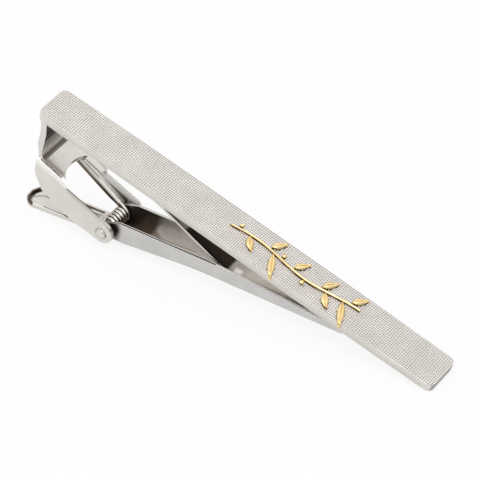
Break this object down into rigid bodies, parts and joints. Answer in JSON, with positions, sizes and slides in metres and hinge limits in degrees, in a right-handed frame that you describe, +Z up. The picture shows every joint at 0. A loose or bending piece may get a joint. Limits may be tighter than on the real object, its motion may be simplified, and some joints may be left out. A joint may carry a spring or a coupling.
{
  "type": "tie clip",
  "caption": "Sprung tie clip: flat bar with a gold leaf sprig, folded hinge bracket, channel lever on a riveted pin, torsion spring and bowed clamp leaf.",
  "frame": {"origin": "on the surface that the clip lies on, under the middle of its box", "axes": "+X along the clip from the hinge end to the free end, +Y across the bar away from its near long side, +Z up. The clip lies on the tail of its lever and the free end of its bar, so the bar slopes 16.16 degrees down towards +X"},
  "size_m": [0.0604, 0.0066, 0.0173],
  "materials": {
    "satin_nickel": "plated, satin, with a fine square grain of raised dots on the front face",
    "bright_nickel": "plated, polished in the folds and channel, softly satin on the outer faces",
    "spring_steel": "bright drawn wire",
    "gold_relief": "polished gold plate"
  },
  "bodies": {
    "clip_frame": {"front_bar": "satin_nickel", "bracket": "bright_nickel", "clamp_leaf": "bright_nickel", "hinge_pin": "bright_nickel", "torsion_spring": "spring_steel", "sprig_stem": "gold_relief", "sprig_leaf_1": "gold_relief", "sprig_leaf_2": "gold_relief", "sprig_leaf_3": "gold_relief", "sprig_leaf_4": "gold_relief", "sprig_leaf_5": "gold_relief", "sprig_leaf_6": "gold_relief", "sprig_leaf_7": "gold_relief", "sprig_leaf_8": "gold_relief", "sprig_berry_1": "gold_relief", "sprig_berry_2": "gold_relief", "sprig_berry_3": "gold_relief"},
    "jaw_lever": {"lever": "bright_nickel"}
  },
  "joints": [
    {"name": "lever_pivot", "type": "hinge", "parent": "clip_frame", "child": "jaw_lever", "pos_m": [-0.01675, 0, 0.00248], "axis": [0, 1, 0], "range_deg": [0, 26], "stiffness_Nm_per_rad": 0.025, "springref_deg": -57.3, "deforming": ["torsion_spring"]}
  ]
}
